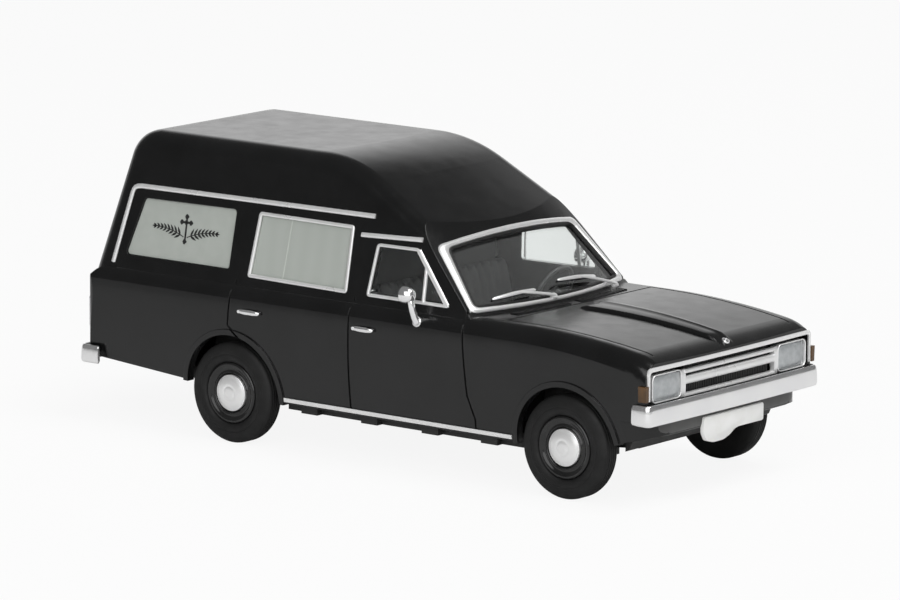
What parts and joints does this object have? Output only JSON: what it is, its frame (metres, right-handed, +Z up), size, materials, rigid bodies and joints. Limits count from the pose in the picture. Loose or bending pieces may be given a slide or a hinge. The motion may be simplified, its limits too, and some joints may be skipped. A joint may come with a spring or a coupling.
{
  "type": "scale model hearse",
  "caption": "Small plastic scale model of a raised-roof station-wagon hearse with bright trim, frosted rear windows and wheels that roll on two axles.",
  "frame": {"origin": "on the ground under the middle of the model", "axes": "+X towards the front, +Y to the model's left, +Z up"},
  "size_m": [0.0532, 0.0222, 0.022],
  "materials": {
    "body_black": "gloss black moulding",
    "clear_glass": "clear moulding",
    "frosted_glass": "frosted pane",
    "chassis_black": "matt black moulding",
    "interior_grey": "dark grey moulding",
    "lamp_clear": "clear lens",
    "lamp_amber": "amber paint",
    "lamp_red": "red paint",
    "plate_white": "white print",
    "tyre_black": "matt black",
    "rim_black": "black",
    "axle_steel": "plain wire",
    "bright_trim": "silver"
  },
  "bodies": {
    "model": {"body_shell": "body_black", "chassis": "chassis_black", "curtain_glass_left": "frosted_glass", "curtain_glass_right": "frosted_glass", "door_frame_left": "bright_trim", "door_frame_right": "bright_trim", "door_glass_left": "clear_glass", "door_glass_right": "clear_glass", "door_handles_left": "bright_trim", "door_handles_right": "bright_trim", "front_bumper": "bright_trim", "front_plate": "plate_white", "grille": "bright_trim", "grille_frame": "bright_trim", "headlamp_left": "lamp_clear", "headlamp_right": "lamp_clear", "indicator_left": "lamp_amber", "indicator_right": "lamp_amber", "interior": "interior_grey", "middle_frame_left": "bright_trim", "middle_frame_right": "bright_trim", "mirror_left": "bright_trim", "mirror_right": "bright_trim", "quarter_glass_left": "frosted_glass", "quarter_glass_right": "frosted_glass", "rear_bumper": "bright_trim", "rear_plate": "plate_white", "roof_rail_left": "bright_trim", "roof_rail_right": "bright_trim", "sill_strip_left": "bright_trim", "sill_strip_right": "bright_trim", "steering_wheel": "interior_grey", "tail_lamp_left": "lamp_red", "tail_lamp_right": "lamp_red", "tailgate_glass": "frosted_glass", "windscreen": "clear_glass", "windscreen_frame": "bright_trim", "wipers": "bright_trim"},
    "front_wheelset": {"front_axle": "axle_steel", "hubcap_front_left": "bright_trim", "hubcap_front_right": "bright_trim", "rim_front_left": "rim_black", "rim_front_right": "rim_black", "tyre_front_left": "tyre_black", "tyre_front_right": "tyre_black"},
    "rear_wheelset": {"hubcap_rear_left": "bright_trim", "hubcap_rear_right": "bright_trim", "rear_axle": "axle_steel", "rim_rear_left": "rim_black", "rim_rear_right": "rim_black", "tyre_rear_left": "tyre_black", "tyre_rear_right": "tyre_black"}
  },
  "joints": [
    {"name": "front_axle_spin", "type": "hinge", "parent": "model", "child": "front_wheelset", "pos_m": [0.0187, 0, 0.00375], "axis": [0, 1, 0], "continuous": true},
    {"name": "rear_axle_spin", "type": "hinge", "parent": "model", "child": "rear_wheelset", "pos_m": [-0.012, 0, 0.00375], "axis": [0, 1, 0], "continuous": true}
  ]
}
